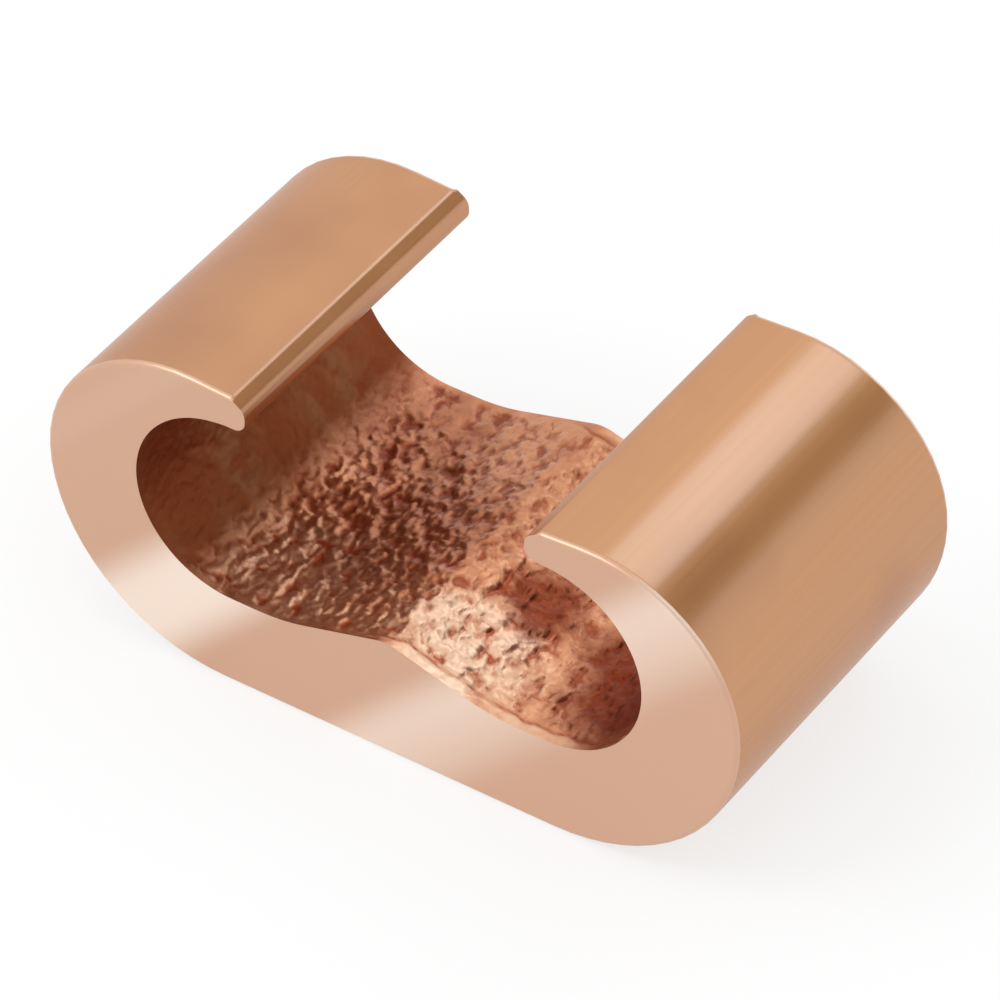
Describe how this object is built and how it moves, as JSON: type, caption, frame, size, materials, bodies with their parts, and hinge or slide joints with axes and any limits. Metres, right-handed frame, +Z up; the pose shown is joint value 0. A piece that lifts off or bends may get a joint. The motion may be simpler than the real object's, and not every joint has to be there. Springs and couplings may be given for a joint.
{
  "type": "c-tap connector",
  "caption": "Bare copper C-shaped compression tap: two round conductor grooves face each other across an open mouth, parted by a low floor ridge.",
  "frame": {"origin": "middle of the flat underside, halfway along the cut length", "axes": "+X across the two grooves, towards the tap groove; +Y along the conductors; +Z up out of the mouth"},
  "size_m": [0.03, 0.0144, 0.014],
  "materials": {
    "copper": "bare copper: satin drawn outside and sawn ends, rough crystalline lining in the grooves"
  },
  "bodies": {
    "root": {"tap_body": "copper"}
  },
  "joints": []
}
